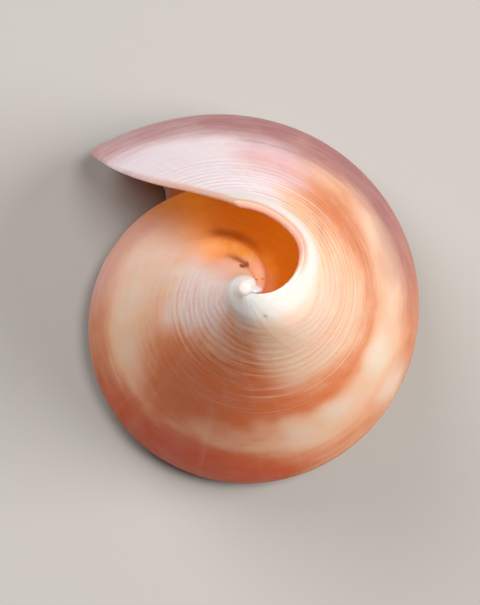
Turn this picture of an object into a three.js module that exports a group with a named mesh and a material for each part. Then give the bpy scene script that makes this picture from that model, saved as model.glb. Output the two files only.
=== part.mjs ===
import * as THREE from 'three';

// A cone shell standing on its flat spire with the narrow end up. Millimetres, +Z up.
// A place on the wall is given by two numbers. "back" is the angle of the coil, in radians,
// from the outer lip back towards the apex. "along" runs from the shoulder, 0, to the narrow end, 1.

const DEG = Math.PI / 180;
const TURN = 2 * Math.PI;

// Body whorl
const LENGTH = 45;
const BODY_RADIUS = 14.94;
const WHORL_RATIO = 1.514;
const LIP_FLARE = 0.8;
const LIP_FLARE_REACH = 17 * DEG;
const LIP_DIRECTION = 132.5 * DEG;
const COLUMELLA_RADIUS = 0.8;
const COLUMELLA_TIP_RADIUS = 0.45;
const COLUMELLA_BLEND = 0.9;
const COLUMELLA_ROUND = 0.2;
const COLUMELLA_BLEND_REACH = 0.06;
const TIP_ROUND = 0.3;
const WALL_END = LENGTH - TIP_ROUND;

// Coil axis in plan, set so that the outline is centred over the origin
const AXIS_X = -1.187;
const AXIS_Y = -1.379;

// Side of the whorl: a straight taper that domes over beside the siphonal opening
const SHOULDER_EASE = 0.1;
const SIDE_END_RADIUS = 6.3;
const SIDE_END_SINK = 0.6;
const SIDE_END_BACK = 168 * DEG;
const SIDE_END_REACH = 42 * DEG;
const DOME_START = 0.84;
const DOME_POWER = 2.4;

// Siphonal opening at the narrow end
const RIM_RADIUS = 5.05;
const RIM_RADIUS_BACK = 45 * DEG;
const RIM_TAPER = 0.9;
const RIM_CURL_START = 85 * DEG;
const RIM_CURL_END = 180 * DEG;
const RIM_DROP = 3.2;
const RIM_RISE_START = 60 * DEG;
const RIM_RISE_END = 178 * DEG;

// Outer lip
const LIP_SWEEP = 36 * DEG;
const LIP_SWEEP_POWER = 3.5;
const LIP_CORNER_BACK = 2.2 * DEG;
const LIP_CORNER_REACH = 0.14;
const LIP_UNDER_BACK = 6 * DEG;
const LIP_ROLL = 0.2;
const NOTCH_BACK = 10 * DEG;
const NOTCH_DEPTH = 6 * DEG;

// Shoulder and spire
const SHOULDER_HEIGHT = 4.2;
const SHOULDER_REACH = 2.4;
const SUTURE_ANGLE = 54 * DEG;
const SPIRE_WHORLS = 5;
const SPIRE_HOLLOW = 1.1;
const NUCLEUS_RISE = 0.45;
const RAMP_CHANNEL = 0.45;
const REST_BAND = 0.14;
const RAMP_START = 0.25;

// Wall and the space inside it
const WALL = 1.25;
const WALL_AT_LIP = 0.5;
const WALL_GROWS_OVER = 9;
const LIP_EDGE = 0.6;
const RIM_EDGE = 0.45;
const WALL_SHARE = 0.92;
const DEEP_BACK = 300 * DEG;
const DEEP_BACK_AT_TIP = 180 * DEG;
const DEEP_CLOSING = 70 * DEG;

// Spiral ridges round the narrow half and the fold on the columella
const RIDGES = 14;
const RIDGE_FIRST = 0.9;
const RIDGE_LAST = 0.46;
const RIDGE_FADE = 0.14;
const RIDGE_HEIGHT = 0.14;
const RIDGE_END_BACK = 343 * DEG;
const RIDGE_END_REACH = 46 * DEG;
const FOLD_HEIGHT = 0.2;
const FOLD_PITCH = 0.19;
const FOLD_WIDTH = 0.12;
const FOLD_START = 0.573;
const FOLD_CLIMB = 0.187;
const FOLD_BACK = 379 * DEG;

// Facets
const SLIT_COLUMNS = 14;
const BODY_COLUMNS = 3 * SLIT_COLUMNS;
const COLUMN_CROWDING = 1.5;
const RIM_ROWS = [1, 0.996, 0.988, 0.974, 0.952, 0.926];
const PLAIN_ROWS = [0.42, 0.36, 0.29, 0.22, 0.15, 0.09, 0.04, 0];
const UNDER_ROWS = [0.25, 0.5, 0.75, 1];
const SPIRE_ROWS = [0, 0.12, RAMP_START, RAMP_START + REST_BAND, 0.6, 0.82, 1];
const DOME_RINGS = [60 * DEG, 30 * DEG];

const clamp = (x) => Math.min(1, Math.max(0, x));
const ease = (x) => clamp(x) ** 2 * (3 - 2 * clamp(x));
const mix = (a, b, t) => a + (b - a) * t;
const quarterRound = (x) => Math.sqrt(1 - (1 - clamp(x)) ** 2);

const whorlScale = (back) => WHORL_RATIO ** (-back / TURN);
const spireLift = (back) => SPIRE_HOLLOW * (1 - Math.exp(-Math.max(0, back - TURN) / Math.PI));

function shoulderRadius(back) {
  return BODY_RADIUS * whorlScale(back) + LIP_FLARE * Math.exp(-back / LIP_FLARE_REACH);
}

function rimRadius(back) {
  const curl = ease((back - RIM_CURL_START) / (RIM_CURL_END - RIM_CURL_START));
  return COLUMELLA_TIP_RADIUS + (RIM_RADIUS - RIM_TAPER * (back - RIM_RADIUS_BACK)) * (1 - curl);
}

function endHeight(back) {
  return WALL_END - RIM_DROP * (1 - ease((back - RIM_RISE_START) / (RIM_RISE_END - RIM_RISE_START)));
}

function sideHeight(back, along) {
  const shoulder = SHOULDER_HEIGHT * whorlScale(back) + spireLift(back);
  return mix(shoulder, endHeight(back), along);
}

function sideTaper(along) {
  const full = Math.hypot(1, SHOULDER_EASE) - SHOULDER_EASE;
  return (Math.hypot(along, SHOULDER_EASE) - SHOULDER_EASE) / full;
}

function fold(back, along) {
  const above = along - FOLD_START - FOLD_CLIMB * (back - FOLD_BACK);
  const wave = Math.cos(TURN * above / FOLD_PITCH) * Math.exp(-((above / FOLD_WIDTH) ** 2));
  return FOLD_HEIGHT * wave * ease((back - TURN) / (FOLD_BACK - TURN));
}

// Radius of the smooth outside of the wall
function sideRadius(back, along) {
  const shoulder = shoulderRadius(back);
  const rim = rimRadius(back);
  if (along >= 1) {
    return rim;
  }
  const end = SIDE_END_RADIUS / (1 + Math.exp((back - SIDE_END_BACK) / SIDE_END_REACH)) - SIDE_END_SINK;
  const dome = clamp((along - DOME_START) / (1 - DOME_START)) ** DOME_POWER;
  const pull = back < RIM_CURL_END ? end - rim : Math.max(0, end - rim);
  const side = mix(shoulder, end, sideTaper(along)) - pull * dome;
  const pillar = mix(COLUMELLA_TIP_RADIUS, COLUMELLA_RADIUS, quarterRound((1 - along) / COLUMELLA_ROUND));
  const blend = COLUMELLA_BLEND * clamp((1 - along) / COLUMELLA_BLEND_REACH);
  return 0.5 * (side + pillar + Math.hypot(side - pillar, blend)) + fold(back, along);
}

function ridge(back, along, crest) {
  const fade = ease((along - RIDGE_LAST) / RIDGE_FADE);
  const outside = 1 - ease((back - RIDGE_END_BACK) / RIDGE_END_REACH);
  return RIDGE_HEIGHT * (crest - 0.5) * fade * outside;
}

// How far back the free edge of the lip lies on a row of the wall
function lipBack(row) {
  if (row.under > 0) {
    return mix(LIP_CORNER_BACK, LIP_UNDER_BACK, row.under);
  }
  const corner = LIP_CORNER_BACK * clamp(1 - row.along / LIP_CORNER_REACH) ** 2;
  return LIP_SWEEP * row.along ** LIP_SWEEP_POWER + corner;
}

// How far the free edge of the lip rolls in
function lipRoll(back, row) {
  const fromLip = (back - lipBack(row)) * shoulderRadius(back);
  return LIP_ROLL * (1 - row.under) * (1 - quarterRound(fromLip / LIP_EDGE));
}

const deepBack = (row) => mix(DEEP_BACK, DEEP_BACK_AT_TIP, row.along ** 2);
const ENTRY_AT_TIP = 3 * (DEEP_BACK_AT_TIP - LIP_SWEEP) + LIP_SWEEP - TURN;
const entryBack = (row) => mix(NOTCH_BACK, ENTRY_AT_TIP, row.along ** 4);

function wallThickness(back, edgeBack, radius, fromRim) {
  const fromLip = (back - edgeBack) * radius;
  const grown = ease(fromLip / WALL_GROWS_OVER) * ease(fromRim / WALL_GROWS_OVER);
  const edges = quarterRound(fromLip / LIP_EDGE) * quarterRound(fromRim / RIM_EDGE);
  return mix(WALL_AT_LIP, WALL, grown) * edges;
}

// The rounded underside of the shoulder, as far round as the suture
function shoulderTurn(back, angle) {
  const scale = whorlScale(back);
  const r = shoulderRadius(back) - SHOULDER_REACH * scale * (1 - Math.cos(angle));
  const z = SHOULDER_HEIGHT * scale * (1 - Math.sin(angle)) + spireLift(back);
  return { r, z };
}

// The same underside, down to the floor that the next whorl lays over it from its free edge on
function coveredTurn(back, under, edgeBack) {
  const within = back - TURN;
  const skin = shoulderTurn(back, SUTURE_ANGLE).r;
  const cover = within > edgeBack ? wallThickness(within, edgeBack, skin, LENGTH) : 0;
  const covered = Math.sin(SUTURE_ANGLE) - cover / (SHOULDER_HEIGHT * whorlScale(back));
  return shoulderTurn(back, Math.asin(covered) * under);
}

// Outside of the wall, and of the earlier whorl where it forms the inner side of the opening
function outside(back, row) {
  if (row.under > 0) {
    const turn = coveredTurn(back, row.under, NOTCH_BACK);
    return { r: turn.r - lipRoll(back, row), z: turn.z };
  }
  const r = sideRadius(back, row.along) + ridge(back, row.along, row.crest) - lipRoll(back, row);
  return { r, z: sideHeight(back, row.along) };
}

function closing(back, row) {
  const width = DEEP_CLOSING * Math.sqrt(1 - row.along);
  return width < 1e-6 ? 1 : quarterRound((deepBack(row) - back) / width);
}

// Inner face of the wall
function inside(back, row) {
  const earlier = outside(back + TURN, row);
  const edge = lipBack(row);
  let face;
  if (row.under > 0) {
    const angle = SUTURE_ANGLE * row.under;
    const skin = shoulderTurn(back, angle);
    const t = wallThickness(back, edge, skin.r, LENGTH);
    face = { r: skin.r - t * Math.cos(angle) - lipRoll(back, row), z: skin.z + t * Math.sin(angle) };
  } else {
    const r = sideRadius(back, row.along) - lipRoll(back, row);
    const z = sideHeight(back, row.along);
    const t = wallThickness(back, edge, r, endHeight(back) - z);
    const room = WALL_SHARE * (r - earlier.r);
    face = { r: r - t / (1 + (t / room) ** 4) ** 0.25, z };
    if (t === 0) {
      face = outside(back, row);
    }
  }
  const open = closing(back, row);
  return { r: mix(earlier.r, face.r, open), z: mix(earlier.z, face.z, open) };
}

// Spire side of a whorl from the suture below it, 0, over its edge and ramp to the next suture, 1
function ramp(back, across) {
  if (across <= RAMP_START) {
    return shoulderTurn(back, mix(SUTURE_ANGLE, Math.PI / 2, across / RAMP_START));
  }
  const edge = shoulderTurn(back, Math.PI / 2);
  const suture = shoulderTurn(back + TURN, SUTURE_ANGLE);
  const t = (across - RAMP_START) / (1 - RAMP_START);
  const rise = ease((across - RAMP_START - REST_BAND) / (1 - RAMP_START - REST_BAND));
  const channel = RAMP_CHANNEL * whorlScale(back) * Math.sin(Math.PI * rise);
  return { r: mix(edge.r, suture.r, t), z: mix(edge.z, suture.z, rise) + channel };
}

// Free edge of the ramp, notched between the lip and the suture
const notch = (across) => NOTCH_DEPTH * Math.sin(Math.PI * across);
const notchEdge = (across) => mix(LIP_UNDER_BACK, NOTCH_BACK, across) + notch(across);

// Floor of the space inside, lying on the ramp
function floorPlace(back, across, row) {
  const skin = ramp(back, across);
  const t = wallThickness(back, notchEdge(across), skin.r, LENGTH);
  const angle = mix(SUTURE_ANGLE, Math.PI / 2, clamp(across / RAMP_START));
  const earlier = coveredTurn(back + TURN, row.under, notchEdge(across));
  const suture = shoulderTurn(back + TURN, SUTURE_ANGLE);
  const r = skin.r - t * Math.cos(angle) + (earlier.r - suture.r) * across ** 3;
  const z = skin.z + t * Math.sin(angle);
  const open = closing(back, row);
  return { r: mix(earlier.r, r, open), z: mix(earlier.z, z, open) };
}

const rows = [];
for (const along of RIM_ROWS) {
  rows.push({ along, under: 0, crest: 0.5 });
}
for (let i = 0; i <= 2 * RIDGES; i++) {
  rows.push({ along: mix(RIDGE_FIRST, RIDGE_LAST, i / (2 * RIDGES)), under: 0, crest: i % 2 });
}
for (const along of PLAIN_ROWS) {
  rows.push({ along, under: 0, crest: 0.5 });
}
for (const under of UNDER_ROWS) {
  rows.push({ along: 0, under, crest: 0.5 });
}
const bottomRow = rows[rows.length - 1];

const points = [];
const faces = [];

function addPoint(back, place) {
  const angle = LIP_DIRECTION - back;
  points.push([AXIS_X + place.r * Math.cos(angle), AXIS_Y + place.r * Math.sin(angle), place.z]);
  return points.length - 1;
}

function addGrid(grid) {
  for (let i = 0; i + 1 < grid.length; i++) {
    for (let j = 0; j + 1 < grid[i].length; j++) {
      faces.push([grid[i][j], grid[i + 1][j + 1], grid[i + 1][j]]);
      faces.push([grid[i][j], grid[i][j + 1], grid[i + 1][j + 1]]);
    }
  }
}

const crowded = (i) => (i / SLIT_COLUMNS) ** COLUMN_CROWDING;
const nearNotch = (i) => clamp(1 - i / SLIT_COLUMNS) ** 2;

function bodyBack(row, column) {
  const span = TURN + entryBack(row) - lipBack(row);
  const share = column < SLIT_COLUMNS ? crowded(column) / 3 : column / BODY_COLUMNS;
  return lipBack(row) + span * share;
}

const parietalBack = (row, i) => TURN + mix(entryBack(row), deepBack(row), crowded(i));
const innerBack = (row, i) => mix(lipBack(row), deepBack(row), crowded(i));

// Each row runs round the outside, into the opening along the earlier whorl, and back inside the wall
const wallGrid = rows.map((row) => {
  const ring = [];
  for (let i = 0; i < BODY_COLUMNS; i++) {
    const back = bodyBack(row, i);
    ring.push(addPoint(back, outside(back, row)));
  }
  for (let i = 0; i <= SLIT_COLUMNS; i++) {
    const back = parietalBack(row, i);
    ring.push(addPoint(back, outside(back, row)));
  }
  for (let i = SLIT_COLUMNS - 1; i >= 0; i--) {
    const back = innerBack(row, i);
    ring.push(addPoint(back, inside(back, row)));
  }
  return ring;
});
addGrid(wallGrid);

// Floor of the opening
addGrid(SPIRE_ROWS.map((across) => {
  const line = [];
  for (let i = SLIT_COLUMNS; i >= 0; i--) {
    const place = mix(innerBack(bottomRow, i), parietalBack(bottomRow, i) - TURN, across);
    const back = place + notch(across) * nearNotch(i);
    line.push(addPoint(back, floorPlace(back, across, bottomRow)));
  }
  return line;
}));

// Spire, one whorl after another to the apex
const sutureBack = (i) => {
  const share = (bodyBack(bottomRow, i) - LIP_UNDER_BACK) / (TURN + NOTCH_BACK - LIP_UNDER_BACK);
  return NOTCH_BACK + TURN * share;
};
let apexRing = [];
for (let whorl = 0; whorl < SPIRE_WHORLS; whorl++) {
  const grid = SPIRE_ROWS.map((across) => {
    const line = [];
    for (let i = 0; i <= BODY_COLUMNS; i++) {
      let back = sutureBack(i) + TURN * whorl;
      if (whorl === 0) {
        back = mix(bodyBack(bottomRow, i), back, across) + notch(across) * nearNotch(i);
      }
      line.push(addPoint(back, ramp(back, across)));
    }
    return line;
  });
  addGrid(grid);
  apexRing = grid[grid.length - 1];
  if (whorl === SPIRE_WHORLS - 1) {
    const ending = grid.map((line) => line[line.length - 1]).reverse();
    apexRing = apexRing.concat(ending.slice(1));
  }
}

// Rounds a ring over to a point on the axis
function addDome(ring, top) {
  let last = ring;
  for (const angle of DOME_RINGS) {
    const shrink = Math.sin(angle);
    const next = ring.map((corner) => {
      const [x, y, z] = points[corner];
      return points.push([mix(AXIS_X, x, shrink), mix(AXIS_Y, y, shrink), mix(z, top, Math.cos(angle))]) - 1;
    });
    addGrid([next, last]);
    last = next;
  }
  const centre = addPoint(0, { r: 0, z: top });
  for (let i = 0; i + 1 < last.length; i++) {
    faces.push([centre, last[i + 1], last[i]]);
  }
}

addDome([...apexRing].reverse(), SPIRE_HOLLOW - NUCLEUS_RISE);
addDome(wallGrid[0].slice(SLIT_COLUMNS, BODY_COLUMNS + SLIT_COLUMNS + 1), LENGTH);

const welded = new Map();
const positions = [];
const weld = points.map((p) => {
  const key = p.map((v) => Math.round(v * 1000)).join(',');
  if (!welded.has(key)) {
    welded.set(key, positions.length / 3);
    positions.push(...p);
  }
  return welded.get(key);
});
const index = [];
for (const face of faces) {
  const [a, b, c] = face.map((i) => weld[i]);
  if (a !== b && b !== c && c !== a) {
    index.push(a, b, c);
  }
}

const geometry = new THREE.BufferGeometry();
geometry.setAttribute('position', new THREE.Float32BufferAttribute(positions, 3));
geometry.setIndex(index);
geometry.computeVertexNormals();

const shell = new THREE.Mesh(geometry, new THREE.MeshStandardMaterial({
  color: 0xe0a078,
  roughness: 0.45,
  side: THREE.FrontSide,
}));
shell.name = 'shell';

const part = new THREE.Group();
part.name = 'cone_shell';
part.add(shell);

export default part;
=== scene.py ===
import math

import bpy
import numpy as np
from mathutils import Matrix, Vector


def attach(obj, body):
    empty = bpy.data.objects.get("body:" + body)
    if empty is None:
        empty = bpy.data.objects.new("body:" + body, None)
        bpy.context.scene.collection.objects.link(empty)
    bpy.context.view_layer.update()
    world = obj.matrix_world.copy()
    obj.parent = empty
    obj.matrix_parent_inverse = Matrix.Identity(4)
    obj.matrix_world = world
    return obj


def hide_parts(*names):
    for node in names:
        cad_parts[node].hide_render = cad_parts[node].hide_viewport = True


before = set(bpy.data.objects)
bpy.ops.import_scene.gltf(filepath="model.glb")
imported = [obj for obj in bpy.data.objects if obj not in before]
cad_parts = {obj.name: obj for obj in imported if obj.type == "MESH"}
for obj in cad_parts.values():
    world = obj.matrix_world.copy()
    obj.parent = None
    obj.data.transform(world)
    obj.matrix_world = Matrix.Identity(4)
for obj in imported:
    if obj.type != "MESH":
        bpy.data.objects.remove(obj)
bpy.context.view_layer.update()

MM = 0.001
DEG = math.pi / 180
TURN = 2 * math.pi

# Body whorl, in millimetres and radians of the coil back from the outer lip
LENGTH = 45.0
BODY_RADIUS = 14.9
WHORL_RATIO = 1.514
LIP_FLARE = 0.8
LIP_FLARE_REACH = 17 * DEG
LIP_DIRECTION = 132.5 * DEG
COLUMELLA_RADIUS = 0.8
COLUMELLA_TIP_RADIUS = 0.45
COLUMELLA_BLEND = 0.9
COLUMELLA_ROUND = 0.2
COLUMELLA_BLEND_REACH = 0.06
TIP_ROUND = 0.3
WALL_END = LENGTH - TIP_ROUND
AXIS_X = -1.187
AXIS_Y = -1.379

# Side of the whorl
SHOULDER_EASE = 0.1
SIDE_END_RADIUS = 6.3
SIDE_END_SINK = 0.6
SIDE_END_BACK = 168 * DEG
SIDE_END_REACH = 42 * DEG
DOME_START = 0.84
DOME_POWER = 2.4

# Siphonal opening
RIM_RADIUS = 5.05
RIM_RADIUS_BACK = 45 * DEG
RIM_TAPER = 0.9
RIM_CURL_START = 85 * DEG
RIM_CURL_END = 180 * DEG
RIM_DROP = 3.2
RIM_RISE_START = 60 * DEG
RIM_RISE_END = 178 * DEG

# Outer lip
LIP_SWEEP = 36 * DEG
LIP_SWEEP_POWER = 3.5
LIP_CORNER_BACK = 2.2 * DEG
LIP_CORNER_REACH = 0.14
LIP_UNDER_BACK = 6 * DEG
LIP_ROLL = 0.2
NOTCH_BACK = 10 * DEG
NOTCH_DEPTH = 6 * DEG

# Shoulder and spire
SHOULDER_HEIGHT = 4.2
SHOULDER_REACH = 2.4
SUTURE_ANGLE = 54 * DEG
SPIRE_WHORLS = 5
SPIRE_HOLLOW = 1.1
NUCLEUS_RISE = 0.45
RAMP_CHANNEL = 0.45
REST_BAND = 0.14
RAMP_START = 0.25

# Wall
WALL = 1.25
WALL_AT_LIP = 0.5
WALL_GROWS_OVER = 9.0
LIP_EDGE = 0.6
RIM_EDGE = 0.45
WALL_SHARE = 0.92
DEEP_BACK = 300 * DEG
DEEP_BACK_AT_TIP = 180 * DEG
DEEP_CLOSING = 70 * DEG
ENTRY_POWER = 4
FIT_POWER = 4

# Spiral ridges, counted from the narrow end, and the fold on the columella
RIDGES = 14
RIDGE_FIRST = 0.9
RIDGE_LAST = 0.46
RIDGE_FADE_START = 0.49
RIDGE_FADE = 0.14
RIDGE_TOP = 0.945
RIDGE_TOP_FADE = 0.05
RIDGE_END_BACK = TURN - 0.5
RIDGE_END_FADE = 0.8
RIDGE_HEIGHT = 0.09
RIDGE_SHARPNESS = 1.4
LINE_LEAN = 0.12
LINE_LEAN_START = 45 * DEG
LINE_LEAN_END = 160 * DEG
QUIET_START = 95 * DEG
QUIET_END = 185 * DEG
QUIET_FADE = 35 * DEG
QUIET_AGAIN = 280 * DEG
QUIET_AMOUNT = 0.55
PATCHY_MEAN = 0.65
PATCHY_AMOUNT = 0.35
FOLD_HEIGHT = 0.2
FOLD_PITCH = 0.19
FOLD_WIDTH = 0.12
FOLD_START = 0.573
FOLD_CLIMB = 0.187
FOLD_BACK = 379 * DEG

# Waves over the side: size, radians of phase per radian back and per length of the side, phase at the start
SWAYS = ((0.3, 1.7, 9, 0.0), (0.1, 4.3, -23, 1.3), (0.04, 11, 31, 0.0))
PATCHES = ((1.0, 2.7, 15, 0.0), (1.0, 6.1, -41, 0.6))

# Depth into the opening, in millimetres, over which the pale edge turns into the lining
PALE_BELOW_RIM = 2.2
PALE_BEHIND_LIP = 7.0
# The wider pale by the notch is partly painted light, standing in for light on the notch where the lip shades
# it
PALE_BY_NOTCH = 8.0

# Mesh
SLIT_COLUMNS = 72
BODY_SLITS = 3
BODY_COLUMNS = BODY_SLITS * SLIT_COLUMNS
COLUMN_CROWDING = 1.5
RIM_ROWS = 16
RIM_SHARE = 0.03
RIM_CROWDING = 1.8
SIDE_ROWS = 178
UNDER_ROWS = 9
RAMP_ROWS = 4
SPIRE_ROWS = 7
WELD_PER_MM = 2000
DOME_RINGS = np.radians([75, 60, 45, 30, 15])


def ease(x):
    x = np.clip(x, 0, 1)
    return x * x * (3 - 2 * x)


def mix(a, b, t):
    return a + (b - a) * t


def quarter_round(x):
    return np.sqrt(1 - (1 - np.clip(x, 0, 1)) ** 2)


def whorl_scale(back):
    return WHORL_RATIO ** (-back / TURN)


def spire_lift(back):
    return SPIRE_HOLLOW * (1 - np.exp(-np.maximum(0, back - TURN) / math.pi))


def shoulder_radius(back):
    return BODY_RADIUS * whorl_scale(back) + LIP_FLARE * np.exp(-back / LIP_FLARE_REACH)


def rim_radius(back):
    curl = ease((back - RIM_CURL_START) / (RIM_CURL_END - RIM_CURL_START))
    return COLUMELLA_TIP_RADIUS + (RIM_RADIUS - RIM_TAPER * (back - RIM_RADIUS_BACK)) * (1 - curl)


def end_height(back):
    return WALL_END - RIM_DROP * (1 - ease((back - RIM_RISE_START) / (RIM_RISE_END - RIM_RISE_START)))


def side_height(back, along):
    shoulder = SHOULDER_HEIGHT * whorl_scale(back) + spire_lift(back)
    return mix(shoulder, end_height(back), along)


def side_taper(along):
    full = math.hypot(1, SHOULDER_EASE) - SHOULDER_EASE
    return (np.hypot(along, SHOULDER_EASE) - SHOULDER_EASE) / full


def fold(back, along):
    above = along - FOLD_START - FOLD_CLIMB * (back - FOLD_BACK)
    wave = np.cos(TURN * above / FOLD_PITCH) * np.exp(-((above / FOLD_WIDTH) ** 2))
    return FOLD_HEIGHT * wave * ease((back - TURN) / (FOLD_BACK - TURN))


def side_radius(back, along):
    shoulder, rim = shoulder_radius(back), rim_radius(back)
    end = SIDE_END_RADIUS / (1 + np.exp((back - SIDE_END_BACK) / SIDE_END_REACH)) - SIDE_END_SINK
    dome = np.clip((along - DOME_START) / (1 - DOME_START), 0, 1) ** DOME_POWER
    pull = np.where(back < RIM_CURL_END, end - rim, np.maximum(0, end - rim))
    side = mix(shoulder, end, side_taper(along)) - pull * dome
    pillar = mix(COLUMELLA_TIP_RADIUS, COLUMELLA_RADIUS, quarter_round((1 - along) / COLUMELLA_ROUND))
    blend = COLUMELLA_BLEND * np.clip((1 - along) / COLUMELLA_BLEND_REACH, 0, 1)
    r = 0.5 * (side + pillar + np.hypot(side - pillar, blend)) + fold(back, along)
    return np.where(along >= 1, rim, r)


def line_lean(back):
    """How far the spiral lines have sunk from the lip round to here, as a share of the side."""
    return LINE_LEAN * ease((back - LINE_LEAN_START) / (LINE_LEAN_END - LINE_LEAN_START))


def wave(back, along, size, per_back, per_along, phase):
    return size * np.sin(per_back * back + per_along * along + phase)


def groove_phase(back, along):
    """Counts ridges from the narrow end; whole numbers are crests, halves are grooves."""
    sway = sum(wave(back, along, *row) for row in SWAYS)
    level = along + line_lean(back)
    return (RIDGE_FIRST - level) / (RIDGE_FIRST - RIDGE_LAST) * RIDGES + sway


def groove_depth(back, along):
    """How strongly the spiral grooves are cut here, 0 to 1."""
    fade = ease((along - RIDGE_FADE_START) / RIDGE_FADE) * ease((RIDGE_TOP - along) / RIDGE_TOP_FADE)
    patchy = PATCHY_MEAN + PATCHY_AMOUNT * math.prod(wave(back, along, *row) for row in PATCHES)
    quiet = ease((back - QUIET_START) / QUIET_FADE) * (1 - ease((back - QUIET_END) / QUIET_FADE))
    near_lip = 1 - ease((back - LINE_LEAN_START) / QUIET_FADE)
    late = ease((back - QUIET_AGAIN) / QUIET_FADE)
    quiet = np.maximum(np.maximum(quiet, near_lip), late)
    last = ease((back - RIDGE_END_BACK) / RIDGE_END_FADE)
    return fade * patchy * (1 - QUIET_AMOUNT * quiet) * (1 - last)


def groove_line(back, along):
    """1 in the floor of a groove, 0 on the ridges."""
    return (0.5 - 0.5 * np.cos(TURN * groove_phase(back, along))) ** RIDGE_SHARPNESS


def lip_back(along, under):
    corner = LIP_CORNER_BACK * np.clip(1 - along / LIP_CORNER_REACH, 0, 1) ** 2
    side = LIP_SWEEP * along ** LIP_SWEEP_POWER + corner
    return np.where(under > 0, mix(LIP_CORNER_BACK, LIP_UNDER_BACK, under), side)


def lip_roll(back, along, under):
    from_lip = (back - lip_back(along, under)) * shoulder_radius(back)
    return LIP_ROLL * (1 - under) * (1 - quarter_round(from_lip / LIP_EDGE))


def deep_back(along):
    return mix(DEEP_BACK, DEEP_BACK_AT_TIP, along ** 2)


ENTRY_AT_TIP = BODY_SLITS * (DEEP_BACK_AT_TIP - LIP_SWEEP) + LIP_SWEEP - TURN


def entry_back(along):
    return mix(NOTCH_BACK, ENTRY_AT_TIP, along ** ENTRY_POWER)


def wall_thickness(back, edge_back, radius, from_rim):
    from_lip = (back - edge_back) * radius
    grown = ease(from_lip / WALL_GROWS_OVER) * ease(from_rim / WALL_GROWS_OVER)
    edges = quarter_round(from_lip / LIP_EDGE) * quarter_round(from_rim / RIM_EDGE)
    return mix(WALL_AT_LIP, WALL, grown) * edges


def shoulder_turn(back, angle):
    scale = whorl_scale(back)
    r = shoulder_radius(back) - SHOULDER_REACH * scale * (1 - np.cos(angle))
    z = SHOULDER_HEIGHT * scale * (1 - np.sin(angle)) + spire_lift(back)
    return r, z


def covered_turn(back, under, edge_back):
    within = back - TURN
    skin = shoulder_turn(back, SUTURE_ANGLE)[0]
    cover = np.where(within > edge_back, wall_thickness(within, edge_back, skin, LENGTH), 0)
    covered = math.sin(SUTURE_ANGLE) - cover / (SHOULDER_HEIGHT * whorl_scale(back))
    return shoulder_turn(back, np.arcsin(np.clip(covered, -1, 1)) * under)


def outside(back, along, under, relief=True):
    turn_r, turn_z = covered_turn(back, under, NOTCH_BACK)
    roll = lip_roll(back, along, under)
    turn_r = turn_r - roll
    r = side_radius(back, along) - roll
    if relief:
        r = r - RIDGE_HEIGHT * groove_line(back, along) * groove_depth(back, along)
    z = side_height(back, along)
    return np.where(under > 0, turn_r, r), np.where(under > 0, turn_z, z)


def closing(back, along):
    width = DEEP_CLOSING * np.sqrt(np.maximum(1 - along, 0))
    share = quarter_round((deep_back(along) - back) / np.maximum(width, 1e-9))
    return np.where(width < 1e-6, 1.0, share)


def inside(back, along, under):
    earlier_r, earlier_z = outside(back + TURN, along, under, relief=False)
    edge = lip_back(along, under)
    angle = SUTURE_ANGLE * under
    turn_r, turn_z = shoulder_turn(back, angle)
    t = wall_thickness(back, edge, turn_r, LENGTH)
    roll = lip_roll(back, along, under)
    turn_r, turn_z = turn_r - t * np.cos(angle) - roll, turn_z + t * np.sin(angle)
    r, z = side_radius(back, along) - roll, side_height(back, along)
    t = wall_thickness(back, edge, r, end_height(back) - z)
    room = np.maximum(WALL_SHARE * (r - earlier_r), 1e-6)
    outer_r = outside(back, along, under)[0]
    fitted = t / (1 + (t / room) ** FIT_POWER) ** (1 / FIT_POWER)
    side_r = np.where(t > 0, np.minimum(r - fitted, outer_r), outer_r)
    face_r = np.where(under > 0, turn_r, side_r)
    face_z = np.where(under > 0, turn_z, z)
    is_open = closing(back, along)
    return mix(earlier_r, face_r, is_open), mix(earlier_z, face_z, is_open)


def ramp(back, across):
    early = np.clip(across / RAMP_START, 0, 1)
    turn_r, turn_z = shoulder_turn(back, mix(SUTURE_ANGLE, math.pi / 2, early))
    edge_r, edge_z = shoulder_turn(back, math.pi / 2)
    suture_r, suture_z = shoulder_turn(back + TURN, SUTURE_ANGLE)
    t = (across - RAMP_START) / (1 - RAMP_START)
    rise = ease((across - RAMP_START - REST_BAND) / (1 - RAMP_START - REST_BAND))
    channel = RAMP_CHANNEL * whorl_scale(back) * np.sin(math.pi * rise)
    r = np.where(across <= RAMP_START, turn_r, mix(edge_r, suture_r, t))
    z = np.where(across <= RAMP_START, turn_z, mix(edge_z, suture_z, rise) + channel)
    return r, z


def notch(across):
    return NOTCH_DEPTH * np.sin(math.pi * across)


def notch_edge(across):
    return mix(LIP_UNDER_BACK, NOTCH_BACK, across) + notch(across)


def floor_place(back, across):
    skin_r, skin_z = ramp(back, across)
    edge = notch_edge(across)
    t = wall_thickness(back, edge, skin_r, LENGTH)
    angle = mix(SUTURE_ANGLE, math.pi / 2, np.clip(across / RAMP_START, 0, 1))
    earlier_r, earlier_z = covered_turn(back + TURN, np.ones_like(back), edge)
    suture_r = shoulder_turn(back + TURN, SUTURE_ANGLE)[0]
    r = skin_r - t * np.cos(angle) + (earlier_r - suture_r) * across ** 3
    z = skin_z + t * np.sin(angle)
    is_open = closing(back, np.zeros_like(back))
    return mix(earlier_r, r, is_open), mix(earlier_z, z, is_open)


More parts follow.
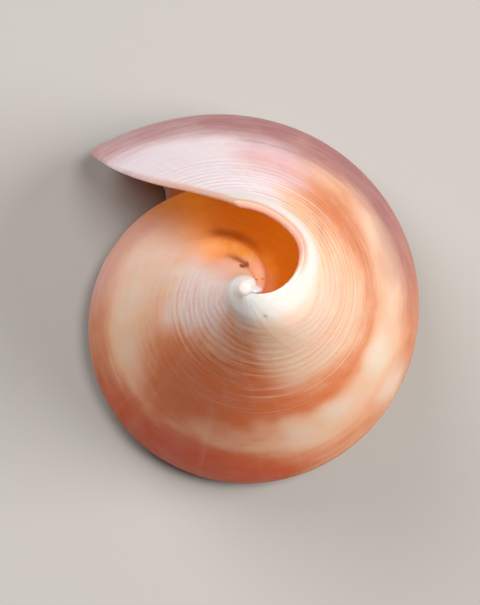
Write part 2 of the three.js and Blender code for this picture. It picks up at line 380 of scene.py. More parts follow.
class Surface:
    """Collects grids of points, each with its place on the coil, and joins them into one closed mesh."""

    def __init__(self):
        self.points, self.marks, self.faces, self.count = [], [], [], 0

    def add(self, back, place, along, lining):
        r, z = place
        angle = LIP_DIRECTION - back
        xyz = np.stack([AXIS_X + r * np.cos(angle), AXIS_Y + r * np.sin(angle), z + 0 * r], -1)
        marks = np.stack(np.broadcast_arrays(back, along, lining), -1).astype(float)
        return self.append(xyz.reshape(-1, 3), marks.reshape(-1, 3)).reshape(r.shape)

    def append(self, points, marks):
        ids = self.count + np.arange(len(points))
        self.points.append(points)
        self.marks.append(marks)
        self.count += len(points)
        return ids

    def grid(self, ids):
        a, b, c, d = ids[:-1, :-1], ids[1:, :-1], ids[1:, 1:], ids[:-1, 1:]
        self.faces.append(np.stack([a, d, c, b], -1).reshape(-1, 4))

    def dome(self, ring, top):
        """Rounds a ring over to a point on the axis at the height given."""
        x, y, z = np.concatenate(self.points)[ring].T
        marks = np.concatenate(self.marks)[ring]
        last = ring
        for angle in DOME_RINGS:
            shrink = math.sin(angle)
            xyz = (mix(AXIS_X, x, shrink), mix(AXIS_Y, y, shrink), mix(z, top, math.cos(angle)))
            ids = self.append(np.stack(xyz, -1), marks)
            self.grid(np.stack([ids, last]))
            last = ids
        centre = self.append(np.array([[AXIS_X, AXIS_Y, top]]), marks[:1])[0]
        a, b = last[:-1], last[1:]
        self.faces.append(np.stack([np.full_like(a, centre), b, a, a], -1))

    def build(self, name):
        points = np.concatenate(self.points)
        marks = np.concatenate(self.marks)
        faces = np.concatenate(self.faces)
        key = np.round(points * WELD_PER_MM).astype(np.int64)
        _, first, weld = np.unique(key, axis=0, return_index=True, return_inverse=True)
        faces = weld.reshape(-1)[faces]
        kept = []
        for face in faces.tolist():
            loop = [v for i, v in enumerate(face) if v != face[i - 1]]
            if len(set(loop)) >= 3:
                kept.append(loop)
        mesh = bpy.data.meshes.new(name)
        mesh.from_pydata((points[first] * MM).tolist(), [], kept)
        mesh.validate()
        return mesh, marks[first]


def crowded(count):
    return (np.arange(count + 1) / count) ** COLUMN_CROWDING


# Place along the side that the pattern takes under the shoulder and on the spire
UNDER_PLACE = -0.12
SPIRE_PLACE = -0.2

surface = Surface()
rim_rows = 1 - RIM_SHARE * (np.arange(RIM_ROWS) / RIM_ROWS) ** RIM_CROWDING
side_rows = np.linspace(1 - RIM_SHARE, 0, SIDE_ROWS)
along = np.concatenate([rim_rows, side_rows, np.zeros(UNDER_ROWS)])[:, None]
under_rows = np.arange(1, UNDER_ROWS + 1) / UNDER_ROWS
under = np.concatenate([np.zeros(RIM_ROWS + SIDE_ROWS), under_rows])[:, None]

# Each row runs round the outside, into the opening along the earlier whorl, and back inside the wall
lip, entry, deep = lip_back(along, under), entry_back(along), deep_back(along)
share = np.arange(BODY_COLUMNS) / BODY_COLUMNS
share[:SLIT_COLUMNS] = crowded(SLIT_COLUMNS)[:SLIT_COLUMNS] / BODY_SLITS
body_back = lip + (TURN + entry - lip) * share
parietal_back = TURN + mix(entry, deep, crowded(SLIT_COLUMNS))
inner_back = mix(lip, deep, crowded(SLIT_COLUMNS))
place = along + UNDER_PLACE * under
body = surface.add(body_back, outside(body_back, along, under), place, 0)
parietal = surface.add(parietal_back, outside(parietal_back, along, under), place, 0)
inner_place = inside(inner_back, along, under)
pale_behind_lip = ease((inner_back - lip) * inner_place[0] / PALE_BEHIND_LIP)
pale_below_rim = ease((end_height(inner_back) - inner_place[1]) / PALE_BELOW_RIM)
inner = surface.add(inner_back, inner_place, place, pale_behind_lip * pale_below_rim)
wall = np.concatenate([body, parietal, inner[:, -2::-1]], 1)
surface.grid(wall)

# Floor of the opening
across = np.concatenate([
    np.linspace(0, RAMP_START, RAMP_ROWS),
    np.linspace(RAMP_START + REST_BAND, 1, SPIRE_ROWS),
])[:, None]
near_notch = np.clip(1 - np.arange(BODY_COLUMNS + 1) / SLIT_COLUMNS, 0, 1) ** 2
floor_back = mix(inner_back[-1:, ::-1], parietal_back[-1:, ::-1] - TURN, across)
floor_back = floor_back + notch(across) * near_notch[SLIT_COLUMNS::-1]
floor_r, floor_z = floor_place(floor_back, across)
# Pale reaches far in by the notch: partly painted light where the lip shades the floor
from_edge = (floor_back - notch_edge(across)) * floor_r
surface.grid(surface.add(floor_back, (floor_r, floor_z), SPIRE_PLACE, ease(from_edge / PALE_BY_NOTCH)))

# Spire
first_edge = np.append(body_back[-1], TURN + NOTCH_BACK)
suture_back = NOTCH_BACK + TURN * (first_edge - LIP_UNDER_BACK) / (TURN + NOTCH_BACK - LIP_UNDER_BACK)
for whorl in range(SPIRE_WHORLS):
    back = suture_back + TURN * whorl + 0 * across
    if whorl == 0:
        back = mix(first_edge, suture_back, across) + notch(across) * near_notch
    whorl_ids = surface.add(back, ramp(back, across), UNDER_PLACE + SPIRE_PLACE * across, 0)
    surface.grid(whorl_ids)
apex_ring = np.concatenate([whorl_ids[-1], whorl_ids[::-1, -1][1:]])
surface.dome(apex_ring[::-1], SPIRE_HOLLOW - NUCLEUS_RISE)
surface.dome(wall[0, SLIT_COLUMNS:BODY_COLUMNS + SLIT_COLUMNS + 1], LENGTH)

mesh, marks = surface.build("shell_surface")
back, along, lining = marks.T


# Pattern, worked out point by point. Growth runs parallel to the lip, and bands run round the whorl.
# Places round the whorl are in degrees back from the lip. Places along the side run from 0 at the shoulder
# to 1 at the narrow end. A pair is where a tone starts to change and where the change is complete.
MIDDLE_RADIUS = 11.0
SIDE_LENGTH = 40.0

# Irregular edges: fineness round and along per millimetre, seed
BROAD = (0.35, 0.3, 11)
FINE = (1.1, 0.7, 12)
STREAKY = (0.9, 0.04, 13)
WANDER_WAVES = 5
WANDER_GAIN = 1.8
RAGGED_DEGREES = (5, 2.5)
RAGGED_ALONG = (0.03, 0.02)
LOOSE_DEGREES = (14, 5)

# Pale clouds: degrees back, place along the side, half width in degrees, half height, strength
CLOUDS = (
    (102, 0.41, 11, 0.08, 0.5),
    (126, 0.33, 12, 0.09, 0.45),
    (151, 0.35, 13, 0.10, 0.9),
    (156, 0.14, 11, 0.10, 0.7),
    (180, 0.35, 10, 0.08, 0.65),
    (198, 0.33, 11, 0.10, 0.5),
    (234, 0.35, 12, 0.07, 0.1),
    (296, 0.33, 15, 0.09, 0.45),
    (318, 0.35, 16, 0.11, 0.5),
    (340, 0.37, 12, 0.16, 0.45),
    (304, 0.62, 9, 0.07, 0.6),
    (336, 0.56, 9, 0.09, 0.7),
)
CLOUD_BAND, CLOUD_BAND_HALF, CLOUD_BAND_STRENGTH = 0.33, 0.1, 0.3
CLOUD_BAND_ZONE = (88, 104, 195, 218)
# Pale fields towards the narrow end: pair along the side, zone, strength
PALE_FIELDS = (
    ((0.5, 0.62), (112, 142, 182, 215), 0.42),
    ((0.84, 0.95), (180, 205, 230, 270), 0.7),
)

# Paler and pinker ringed half behind the middle of the whorl, and the pink of the lip
RINGED_FROM = (0.6, 0.42)
RINGED_FROM_CHANGE = (268, 305)
RINGED_RISE = 0.24
RINGED_START = (228, 285)
RINGED_CLOUD, RINGED_CLOUD_END = 0.4, (345, 375)
RINGED_PINK = 0.66
LIP_PINK_END = (42, 84)
LATE_PINK, LATE_PINK_START = 0.35, (285, 335)

# Warm band that winds round the whorl: degrees back, place along the side, reach below and above, strength
WARM_BAND = np.array((
    (38, 0.70, 0.10, 0.15, 0.0),
    (60, 0.68, 0.16, 0.18, 0.55),
    (88, 0.62, 0.22, 0.22, 0.95),
    (104, 0.59, 0.11, 0.17, 0.85),
    (120, 0.54, 0.08, 0.11, 0.75),
    (150, 0.48, 0.07, 0.08, 0.7),
    (185, 0.46, 0.07, 0.15, 0.8),
    (215, 0.47, 0.10, 0.30, 1.0),
    (238, 0.48, 0.12, 0.25, 1.0),
    (260, 0.48, 0.24, 0.16, 1.0),
    (282, 0.52, 0.18, 0.16, 0.65),
    (320, 0.55, 0.14, 0.18, 0.0),
)).T
REDDISH_END = (110, 165)
LATE_REDDISH, LATE_REDDISH_START = 0.7, (235, 275)
ORANGE_START = (105, 160)
ORANGE_WASH, ORANGE_WASH_ZONE = 0.36, (195, 222, 262, 300)

# Coloured edge above the shoulder: strength and zone
EDGE_TOP = (0.14, 0.29)
ORANGE_EDGE = ((0.5, (140, 178, 250, 310)), (0.5, (188, 230, 250, 310)))
SALMON_EDGE = ((0.7, (70, 118, 138, 190)), (0.75, (245, 290, 340, 400)))
SHOULDER_ZONE = (186, 230, 250, 312)

# Rose shoulder behind the lip
ROSE_TOP = (0.12, 0.46)
ROSE_LIFT, ROSE_LIFT_CHANGE = (0.03, 0.1), (15, 55)
ROSE_END = (82, 160)
ROSE_STREAKS_ALONG, ROSE_STREAKS_ROUND = 0.05, 8
ROSE_MEAN, ROSE_STREAKS = 0.92, 0.16
ROSE_AT_LIP, ROSE_LIP_CHANGE = 0.78, (8, 50)
ROSE_ON_SPIRE, ROSE_SPIRE_CHANGE = 0.3, (-0.12, -0.02)

# Pale narrow end
CREAM_START, CREAM_START_CHANGE = (0.885, 0.85), (230, 280)
CREAM_FULL = 0.965
CREAM_RAGGED = 0.008
# Soft cream on the lit right side towards the narrow end: partly a pale tone, partly a painted highlight
SOFT_CREAM, SOFT_CREAM_RISE, SOFT_CREAM_ZONE = 0.3, (0.68, 0.92), (100, 125, 160, 190)
WHITE_RISE, WHITE_START = (0.93, 0.965), (185, 235)
# The tip is painted darker, as shade against the light that falls on its dome
TIP_RISE, TIP_START = (0.9985, 1.0), (150, 175)

# Blush above the rose, and the flushed margin of the lip and the rim; the margin's width is in millimetres
BLUSH_STRENGTH, BLUSH_PLACE, BLUSH_HALF, BLUSH_ZONE = 0.8, 0.55, 0.2, (26, 52, 60, 86)
RIM_FLUSH_RISE, RIM_FLUSH_END = (0.965, 0.998), (96, 128)
MARGIN_WIDTH = (0.15, 0.65)
MARGIN_RISE = (0.2, 0.42)
MARGIN_LAST = (200, 220)
MARGIN_FLUSH, MARGIN_FLUSH_RISE = 0.85, (0.35, 0.75)
MARGIN_ROSE, MARGIN_ROSE_FALL = 0.45, (0.45, 0.8)

# Lining: where the lip covers the earlier whorl, and a painted glow that stands in for the light coming
# through the wall
COVERED = (345, 385)
COVERED_RAGGED = 3
COVERED_LEAN, COVERED_LEAN_START = 40, 0.45
COVERED_THIN, COVERED_THIN_RISE = 0.45, (0.66, 0.8)
COVERED_TOP = (0.9, 0.965)
LINING_BOTTOM = (-0.35, -0.05)
SALMON_LINING_START, SALMON_LINING_END = (300, 320), (376, 402)
GLOW_START = (345, 368)
GLOW_DIP, GLOW_DIP_ZONE = 0.3, (378, 392, 400, 440)
GLOW_FADE, GLOW_FADE_RISE, GLOW_FADE_END = 0.8, (0.6, 0.74), (385, 410)
GLOW_IN_VALLEY = 0.7
# The lip's edge gets a weaker painted glow of its own
MARGIN_GLOW, MARGIN_GLOW_RISE = 0.25, (0.5, 0.8)

# Valleys beside the fold, darkened with stain and painted shade: place above the fold, half height, strength,
# zone
LOWER_VALLEY = (-0.1, 0.042, 0.8, (370, 388, 402, 440))
UPPER_VALLEY = (0.1, 0.032, 0.8, (374, 400, 405, 416))
# Dark specks: degrees back, place along the side, half width and half height in millimetres, strength
SPECKS = (
    (184, 0.948, 0.14, 0.3, 0.5),
    (234, 0.83, 0.14, 0.14, 0.7),
    (402, 0.797, 0.3, 1.2, 0.9),
    (409, 0.768, 0.26, 1.7, 0.9),
    (437, 0.915, 0.12, 1.1, 0.6),
    (446, 0.868, 0.12, 0.9, 0.6),
    (455, 0.842, 0.16, 0.5, 0.5),
)
SPECK_CORE = 0.4

# Streaks between the ridges, and dirt in the grooves above the opening
STREAK_RISE, STREAK_FALL, STREAK_LAST = (0.42, 0.56), (0.88, 0.95), (315, 345)
STREAK_ON_LIP, STREAK_LIP_CHANGE = 0.4, (40, 75)
DIRT_BACK, DIRT_HALF_WIDTH, DIRT_PLACE, DIRT_HALF_HEIGHT = 82, 22, 0.885, 0.05
LINING_SHIFT = 3


def wander(u, v, per_u, per_v, seed, octaves=4):
    """Smooth irregular value, about -1 to 1, over two coordinates; each octave is twice as fine."""
    rng = np.random.default_rng(seed)
    u, v = u * per_u, v * per_v
    total, weight = np.zeros_like(u), 0.0
    for octave in range(octaves):
        fineness = 2.0 ** octave
        for _ in range(WANDER_WAVES):
            angle, phase = rng.uniform(0, TURN, 2)
            total += np.sin(fineness * (u * math.cos(angle) + v * math.sin(angle)) + phase) / fineness
        weight += WANDER_WAVES / fineness
    return WANDER_GAIN * total / weight


def step(value, low, high):
    return ease((value - low) / (high - low))


def hump(value, centre, half):
    return np.exp(-(((value - centre) / half) ** 2))


def span(value, start, full, last, end):
    """Rises from start to full and falls from last to end."""
    return step(value, start, full) * (1 - step(value, last, end))


def strongest(*masks):
    return np.maximum.reduce(masks)


degrees = back / DEG
grown = back - LIP_SWEEP * np.clip(along, 0, 1) ** LIP_SWEEP_POWER
growth_mm = grown * MIDDLE_RADIUS
along_mm = along * SIDE_LENGTH
radius = side_radius(back, along)
broad = wander(growth_mm, along_mm, *BROAD)
fine = wander(growth_mm, along_mm, *FINE)
streaky = wander(growth_mm, along_mm, *STREAKY)
ragged_degrees = degrees + RAGGED_DEGREES[0] * broad + RAGGED_DEGREES[1] * fine
ragged_along = along + RAGGED_ALONG[0] * broad + RAGGED_ALONG[1] * fine
loose_degrees = degrees + LOOSE_DEGREES[0] * broad + LOOSE_DEGREES[1] * fine

# Clouds and pink
cloud = CLOUD_BAND_STRENGTH * hump(ragged_along, CLOUD_BAND, CLOUD_BAND_HALF)
cloud = cloud * span(ragged_degrees, *CLOUD_BAND_ZONE)
for rise, zone, strength in PALE_FIELDS:
    cloud = strongest(cloud, strength * step(ragged_along, *rise) * span(ragged_degrees, *zone))
for centre, place, half_width, half_height, strength in CLOUDS:
    spot = hump(ragged_degrees, centre, half_width) * hump(ragged_along, place, half_height)
    cloud = strongest(cloud, strength * spot)
ringed_from = mix(*RINGED_FROM, step(degrees, *RINGED_FROM_CHANGE))
ringed = step(ragged_along, ringed_from, ringed_from + RINGED_RISE) * step(ragged_degrees, *RINGED_START)
cloud = strongest(cloud, RINGED_CLOUD * ringed * (1 - step(ragged_degrees, *RINGED_CLOUD_END)))
lip_pink = 1 - step(ragged_degrees, *LIP_PINK_END)
late_pink = LATE_PINK * step(ragged_degrees, *LATE_PINK_START)
pink = strongest(lip_pink, late_pink, RINGED_PINK * ringed)

# Warm band and coloured edge
place, below, above, strength = (np.interp(ragged_degrees, WARM_BAND[0], row) for row in WARM_BAND[1:])
offset = ragged_along - place
warm = strength * hump(offset, 0, np.where(offset < 0, below, above))
edge = 1 - step(ragged_along, *EDGE_TOP)
orange_edge = edge * sum(share * span(loose_degrees, *zone) for share, zone in ORANGE_EDGE)
orange = strongest(warm * step(degrees, *ORANGE_START), orange_edge)
orange = np.clip(orange + ORANGE_WASH * span(ragged_degrees, *ORANGE_WASH_ZONE), 0, 1)
reddish = strongest(1 - step(degrees, *REDDISH_END), LATE_REDDISH * step(degrees, *LATE_REDDISH_START))
salmon_edge = edge * strongest(*(share * span(loose_degrees, *zone) for share, zone in SALMON_EDGE))
salmon = strongest(warm * reddish, salmon_edge)
shoulder = edge * span(loose_degrees, *SHOULDER_ZONE)

# Lip, rim and narrow end
rose_lift = mix(*ROSE_LIFT, step(degrees, *ROSE_LIFT_CHANGE))
rose = 1 - step(ragged_along - rose_lift + ROSE_STREAKS_ALONG * streaky, *ROSE_TOP)
rose = rose * (1 - step(loose_degrees + ROSE_STREAKS_ROUND * streaky, *ROSE_END))
rose = rose * (ROSE_MEAN + ROSE_STREAKS * streaky)
rose = rose * mix(ROSE_AT_LIP, 1, step(ragged_degrees, *ROSE_LIP_CHANGE))
rose = rose * mix(ROSE_ON_SPIRE, 1, step(along, *ROSE_SPIRE_CHANGE))
margin = (1 - step(grown * radius, *MARGIN_WIDTH)) * step(along, *MARGIN_RISE)
margin = margin * (1 - step(degrees, *MARGIN_LAST))
rose = strongest(rose, MARGIN_ROSE * margin * (1 - step(along, *MARGIN_ROSE_FALL)))
flush = step(along, *RIM_FLUSH_RISE) * (1 - step(ragged_degrees, *RIM_FLUSH_END))
flush = flush * (1 - step(degrees, *MARGIN_LAST))
flush = strongest(flush, MARGIN_FLUSH * margin * step(along, *MARGIN_FLUSH_RISE))
blush = BLUSH_STRENGTH * hump(ragged_along, BLUSH_PLACE, BLUSH_HALF) * span(ragged_degrees, *BLUSH_ZONE)
cream_start = mix(*CREAM_START, step(degrees, *CREAM_START_CHANGE))
cream = step(along + CREAM_RAGGED * fine, cream_start, CREAM_FULL)
# Soft cream: partly pale tone, partly a painted highlight on the lit right side
soft_cream = SOFT_CREAM * step(ragged_along, *SOFT_CREAM_RISE) * span(ragged_degrees, *SOFT_CREAM_ZONE)
cream = strongest(cream, soft_cream)
white = step(along, *WHITE_RISE) * step(degrees, *WHITE_START)
tip = step(along, *TIP_RISE) * step(degrees, *TIP_START)

# Lining
covered = degrees + COVERED_RAGGED * broad + COVERED_LEAN * np.clip(along - COVERED_LEAN_START, 0, 1)
covered = step(covered, *COVERED) * (1 - COVERED_THIN * step(along, *COVERED_THIN_RISE))
covered = covered * (1 - step(along, *COVERED_TOP))
lining = strongest(lining, covered) * step(along, *LINING_BOTTOM)
salmon_lining = (1 - step(ragged_degrees, *SALMON_LINING_END)) * step(degrees, *SALMON_LINING_START)

# Dark marks
above_fold = along - FOLD_START - FOLD_CLIMB * (back - FOLD_BACK)


def fold_valley(place, half_height, strength, zone):
    return strength * hump(above_fold, place, half_height) * span(degrees, *zone)


# Valleys beside the fold: colour darkened as stain and painted shade in the creases; the upper one goes in
# with the dark specks
valley = fold_valley(*LOWER_VALLEY)
dark = fold_valley(*UPPER_VALLEY)
for centre, place, half_width, half_height, strength in SPECKS:
    round_mm = (back - centre * DEG) * radius
    distance = np.hypot(round_mm / half_width, (along - place) * SIDE_LENGTH / half_height)
    dark = strongest(dark, strength * (1 - step(distance, SPECK_CORE, 1)))
streak = step(along, *STREAK_RISE) * (1 - step(along, *STREAK_FALL)) * (1 - step(degrees, *STREAK_LAST))
streak = streak * mix(STREAK_ON_LIP, 1, step(degrees, *STREAK_LIP_CHANGE))
level = along + line_lean(back)
dirt = hump(degrees, DIRT_BACK, DIRT_HALF_WIDTH) * hump(level, DIRT_PLACE, DIRT_HALF_HEIGHT)

# Painted glow: emission standing in for light coming through the wall
glow = lining * (1 - GLOW_DIP * span(ragged_degrees, *GLOW_DIP_ZONE)) * step(degrees, *GLOW_START)
glow = glow * (1 - GLOW_FADE * step(along, *GLOW_FADE_RISE) * (1 - step(degrees, *GLOW_FADE_END)))
margin_glow = MARGIN_GLOW * margin * step(along, *MARGIN_GLOW_RISE)
glow = strongest(glow * (1 - GLOW_IN_VALLEY * valley), margin_glow)

for name, values in (
    ("cloud", cloud), ("pink", pink), ("orange", orange), ("salmon", salmon), ("shoulder", shoulder),
    ("rose", rose), ("cream", cream), ("blush", blush), ("flush", flush), ("white", white), ("tip", tip),
    ("lining", lining), ("salmon_lining", salmon_lining), ("valley", valley), ("dark", dark),
    ("streak", streak), ("dirt", dirt), ("glow", glow),
    ("groove", groove_depth(back, along)), ("phase", groove_phase(back, along)),
):
    mesh.attributes.new(name, "FLOAT", "POINT").data.foreach_set("value", values.astype(np.float32))
spread = np.stack([growth_mm, SIDE_LENGTH * level, LINING_SHIFT * lining], -1).astype(np.float32)
mesh.attributes.new("spread", "FLOAT_VECTOR", "POINT").data.foreach_set("vector", spread.ravel())
mesh.shade_smooth()
shell = bpy.data.objects.new("shell_surface", mesh)
bpy.context.collection.objects.link(shell)


def srgb(red, green, blue):
    def linear(value):
        value = value / 255
        return value / 12.92 if value <= 0.04045 else ((value + 0.055) / 1.055) ** 2.4
    return (linear(red), linear(green), linear(blue), 1.0)


PEACH = srgb(254, 196, 158)
ORANGE = srgb(226, 104, 18)
DEEP_ORANGE = srgb(222, 78, 6)
SALMON = srgb(212, 112, 60)
PALE = srgb(251, 223, 201)
LIP_PINK = srgb(253, 230, 238)
BLUSH = srgb(236, 180, 184)
WARM_STREAK = srgb(226, 140, 104)
ROSE = srgb(170, 106, 107)
CREAM = srgb(236, 224, 218)
WHITE = srgb(254, 248, 248)
FLUSH = srgb(222, 158, 142)
# Tip: painted darker to tone down the light on its dome
TIP = srgb(204, 193, 189)
GROWTH_PALE = srgb(250, 222, 200)
LINING = srgb(255, 180, 108)
LINING_DEEP = srgb(253, 150, 44)
SALMON_LINING = srgb(250, 172, 128)
# Groove floors: stain and painted shade
GROOVE = srgb(206, 116, 60)
VALLEY = srgb(176, 74, 10)
DARK = srgb(104, 40, 20)
DIRT = srgb(120, 92, 84)

# Noise over the shell: stretch round, along and into the lining, detail, roughness
MOTTLE = ((0.45, 0.35, 1.0), 6.0, 0.6)
GROWTH = ((0.7, 0.035, 1.0), 3.0, 0.5)
STRANDS = ((0.06, 1.9, 1.0), 5.0, 0.65)
WISPS = ((0.09, 0.75, 1.0), 5.0, 0.6)
MOTTLE_SHARE, WISPS_SHARE = 0.4, 0.6
RAGGEDNESS = 0.8

# Ground tones in the order they are laid: mask, ends of its ragged edge, colour
GROUND = (
    ("orange", -0.1, 1.05, ORANGE),
    ("salmon", -0.05, 1.1, SALMON),
    ("shoulder", 0.0, 1.0, DEEP_ORANGE),
    ("pink", 0.1, 0.9, LIP_PINK),
    ("blush", 0.05, 1.0, BLUSH),
    ("rose", 0.05, 1.0, ROSE),
    ("cloud", 0.05, 0.95, PALE),
)
# Streaks between the ridges: ends in the strand noise, strengths there, colour
STREAKS = ((0.5, 0.7, 0.0, 0.5, WARM_STREAK), (0.5, 0.3, 0.0, 0.5, PALE))
GROWTH_LINES = (0.5, 0.9, 0.0, 0.14)
CUT = (0.4, -1.0)
CUT_STAIN_AND_SHADE = (0.38, 0.66, 0.06, 0.32)
GRIME = (-0.55, -1.0)
GRIME_STRANDS = (0.4, 0.6)
LINING_MOTTLE = (0.35, 0.65)
SALMON_LINING_AMOUNT = 0.7

# Surface
GLOSS = (0.3, 0.7, 0.4, 0.54)
FLUSH_DULLNESS = 0.2
STRAND_RELIEF = 0.7
CUT_RELIEF = 0.25
LINING_SMOOTHNESS = 0.85
BUMP_STRENGTH = 0.4
BUMP_DISTANCE = 0.00012
SPECULAR = 0.13
SUBSURFACE = 0.7
SUBSURFACE_RADIUS = (1.0, 0.5, 0.22)
SUBSURFACE_SCALE = 0.0016
# Colour and strength of the painted glow, an emission standing in for light through the thin wall
GLOW = (1.0, 0.40, 0.02, 1.0)
GLOW_STRENGTH = 0.22


class Nodes:
    """Short forms for wiring one material."""

    def __init__(self, name):
        self.material = bpy.data.materials.new(name)
        self.material.use_nodes = True
        self.tree = self.material.node_tree
        self.shader = self.tree.nodes["Principled BSDF"]

    def join(self, values, sockets):
        for value, socket in zip(values, sockets):
            if isinstance(value, bpy.types.NodeSocket):
                self.tree.links.new(value, socket)
            else:
                socket.default_value = value

    def attribute(self, name, output="Fac"):
        node = self.tree.nodes.new("ShaderNodeAttribute")
        node.attribute_name = name
        return node.outputs[output]

    def math(self, operation, first, second):
        node = self.tree.nodes.new("ShaderNodeMath")
        node.operation = operation
        self.join((first, second), node.inputs)
        return node.outputs[0]

    def mix(self, factor, first, second):
        node = self.tree.nodes.new("ShaderNodeMix")
        node.data_type = "RGBA"
        self.join((factor, first, second), (node.inputs[0], node.inputs[6], node.inputs[7]))
        return node.outputs[2]

    def noise(self, vector, stretch, detail=4.0, roughness=0.55):
        mapping = self.tree.nodes.new("ShaderNodeMapping")
        self.join((vector, stretch), (mapping.inputs["Vector"], mapping.inputs["Scale"]))
        node = self.tree.nodes.new("ShaderNodeTexNoise")
        values = (mapping.outputs[0], 1.0, detail, roughness)
        self.join(values, [node.inputs[name] for name in ("Vector", "Scale", "Detail", "Roughness")])
        return node.outputs["Fac"]

    def span(self, value, low, high, to_low=0.0, to_high=1.0):
        node = self.tree.nodes.new("ShaderNodeMapRange")
        node.interpolation_type = "SMOOTHSTEP"
        names = ("Value", "From Min", "From Max", "To Min", "To Max")
        self.join((value, low, high, to_low, to_high), [node.inputs[name] for name in names])
        return node.outputs["Result"]


def shell_material():
    look = Nodes("shell")
    place = look.attribute("spread", "Vector")
    mottle, growth, strands, wisps = (look.noise(place, *row) for row in (MOTTLE, GROWTH, STRANDS, WISPS))
    lining = look.attribute("lining")
    flush = look.attribute("flush")
    streak = look.attribute("streak")

    # Ground tones, with edges broken up by the noise
    coarse = look.math("MULTIPLY", mottle, MOTTLE_SHARE)
    blotches = look.math("ADD", coarse, look.math("MULTIPLY", wisps, WISPS_SHARE))
    shift = look.math("MULTIPLY", look.math("SUBTRACT", blotches, 0.5), RAGGEDNESS)
    colour = PEACH
    for name, low, high, tone in GROUND:
        mask = look.span(look.math("ADD", look.attribute(name), shift), low, high)
        colour = look.mix(mask, colour, tone)

    # Streaks, growth lines and narrow end
    for *ends, tone in STREAKS:
        colour = look.mix(look.math("MULTIPLY", look.span(strands, *ends), streak), colour, tone)
    colour = look.mix(look.span(growth, *GROWTH_LINES), colour, GROWTH_PALE)
    colour = look.mix(look.attribute("cream"), colour, CREAM)
    colour = look.mix(look.attribute("white"), colour, WHITE)
    colour = look.mix(flush, colour, FLUSH)

    # Grooves darkened with stain and painted shade, and dirty grooves
    wave = look.math("COSINE", look.math("MULTIPLY", look.attribute("phase"), TURN), 0.0)
    cut = look.math("MULTIPLY", look.span(wave, *CUT), look.attribute("groove"))
    colour = look.mix(look.math("MULTIPLY", cut, look.span(mottle, *CUT_STAIN_AND_SHADE)), colour, GROOVE)
    grime = look.math("MULTIPLY", look.span(wave, *GRIME), look.attribute("dirt"))
    colour = look.mix(look.math("MULTIPLY", grime, look.span(strands, *GRIME_STRANDS)), colour, DIRT)

    # Tip painted darker as shade against the light on its dome, lining and dark marks
    colour = look.mix(look.attribute("tip"), colour, TIP)
    lined = look.mix(look.span(mottle, *LINING_MOTTLE), LINING, LINING_DEEP)
    salmon = look.math("MULTIPLY", look.attribute("salmon_lining"), SALMON_LINING_AMOUNT)
    colour = look.mix(lining, colour, look.mix(salmon, lined, SALMON_LINING))
    # Stain and painted shade in the lower valley beside the fold
    colour = look.mix(look.attribute("valley"), colour, VALLEY)
    colour = look.mix(look.attribute("dark"), colour, DARK)

    # Gloss, relief and painted glow standing in for light through the wall
    dullness = look.math("MULTIPLY", flush, FLUSH_DULLNESS)
    gloss = look.math("ADD", look.span(mottle, *GLOSS), dullness)
    relief = look.math("ADD", growth, look.math("MULTIPLY", strands, STRAND_RELIEF))
    relief = look.math("SUBTRACT", relief, look.math("MULTIPLY", cut, CUT_RELIEF))
    rough = look.math("SUBTRACT", 1.0, look.math("MULTIPLY", lining, LINING_SMOOTHNESS))
    relief = look.math("MULTIPLY", relief, rough)
    bump = look.tree.nodes.new("ShaderNodeBump")
    names = ("Strength", "Distance", "Height")
    look.join((BUMP_STRENGTH, BUMP_DISTANCE, relief), [bump.inputs[name] for name in names])
    glow = look.math("MULTIPLY", look.attribute("glow"), GLOW_STRENGTH)
    for name, value in (
        ("Base Color", colour),
        ("Roughness", gloss),
        ("Normal", bump.outputs["Normal"]),
        ("Specular IOR Level", SPECULAR),
        ("Subsurface Weight", SUBSURFACE),
        ("Subsurface Radius", SUBSURFACE_RADIUS),
        ("Subsurface Scale", SUBSURFACE_SCALE),
        ("Emission Color", GLOW),
        ("Emission Strength", glow),
    ):
        look.join((value,), (look.shader.inputs[name],))
    return look.material


mesh.materials.append(shell_material())
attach(shell, "root")
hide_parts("shell")

# Floor
FLOOR_HALF = 1.5
FLOOR_TONE = (0.35, 0.336, 0.318, 1)
FLOOR_ROUGHNESS = 0.9
corners = [(-1, -1), (1, -1), (1, 1), (-1, 1)]
floor_mesh = bpy.data.meshes.new("floor")
floor_mesh.from_pydata([(FLOOR_HALF * x, FLOOR_HALF * y, 0) for x, y in corners], [], [(0, 1, 2, 3)])
floor = bpy.data.objects.new("floor", floor_mesh)
bpy.context.collection.objects.link(floor)
paper = Nodes("floor_paper")
paper.shader.inputs["Base Color"].default_value = FLOOR_TONE
paper.shader.inputs["Roughness"].default_value = FLOOR_ROUGHNESS
floor_mesh.materials.append(paper.material)


# Lights: name, azimuth and elevation in degrees, distance and size in metres, power, tint
LIGHTS = (
    ("key", 0, 55, 0.45, 0.26, 1.98, (1.0, 0.98, 0.95)),
    ("fill", 130, 54, 0.5, 0.3, 1.75, (1.0, 0.99, 0.98)),
    ("front", 14, 82, 0.6, 0.1, 1.95, (1.0, 0.99, 0.97)),
)
WORLD_TINT = (1.0, 0.99, 0.98, 1)
WORLD_STRENGTH = 0.05


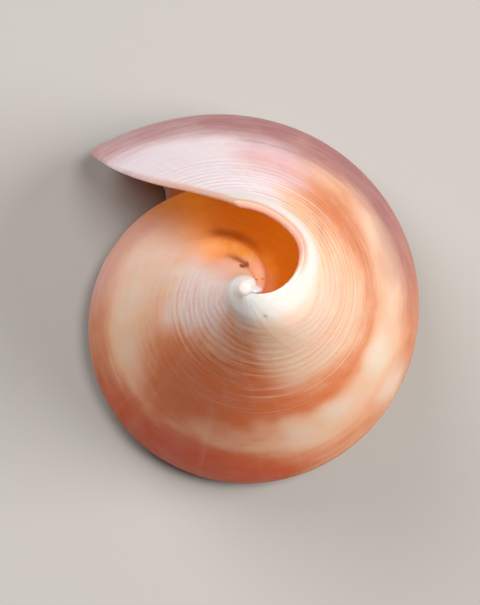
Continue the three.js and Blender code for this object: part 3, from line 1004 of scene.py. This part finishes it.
def area_light(name, azimuth, elevation, distance, size, power, tint):
    turn, lift = azimuth * DEG, elevation * DEG
    away = Vector((math.cos(lift) * math.cos(turn), math.cos(lift) * math.sin(turn), math.sin(lift)))
    data = bpy.data.lights.new(name, "AREA")
    data.shape = "DISK"
    data.size = size
    data.energy = power
    data.color = tint
    lamp = bpy.data.objects.new(name, data)
    lamp.location = Vector((0, 0, 0.5 * LENGTH * MM)) + distance * away
    lamp.rotation_euler = away.to_track_quat("Z", "Y").to_euler()
    bpy.context.collection.objects.link(lamp)


for row in LIGHTS:
    area_light(*row)
world = bpy.data.worlds.new("studio")
world.use_nodes = True
backdrop = world.node_tree.nodes["Background"]
backdrop.inputs["Color"].default_value = WORLD_TINT
backdrop.inputs["Strength"].default_value = WORLD_STRENGTH
bpy.context.scene.world = world
bpy.context.scene.view_settings.view_transform = "Standard"

# Camera over the narrow end, leaning a little towards the near side
VIEW_DISTANCE = 300.0
PIXELS_PER_MM = 14.25
LEAN_X, LEAN_Y = 0.0125, 0.045
AIM_X, AIM_Y, AIM_Z = 0.24, 1.10, 4.2
IMAGE_HEIGHT = 605
SENSOR_HEIGHT = 36.0
camera_data = bpy.data.cameras.new("camera")
camera_data.sensor_fit = "VERTICAL"
camera_data.sensor_height = SENSOR_HEIGHT
camera_data.lens = PIXELS_PER_MM * VIEW_DISTANCE / IMAGE_HEIGHT * SENSOR_HEIGHT
camera_data.clip_start = 0.01
camera = bpy.data.objects.new("camera", camera_data)
stand = Vector((AXIS_X - LEAN_X * VIEW_DISTANCE, AXIS_Y - LEAN_Y * VIEW_DISTANCE, AIM_Z + VIEW_DISTANCE)) * MM
aim = Vector((AXIS_X + AIM_X, AXIS_Y + AIM_Y, AIM_Z)) * MM
backward = (stand - aim).normalized()
right = Vector((0, 1, 0)).cross(backward).normalized()
upward = backward.cross(right)
camera.matrix_world = Matrix((
    (right.x, upward.x, backward.x, stand.x),
    (right.y, upward.y, backward.y, stand.y),
    (right.z, upward.z, backward.z, stand.z),
    (0, 0, 0, 1),
))
bpy.context.collection.objects.link(camera)
bpy.context.scene.camera = camera
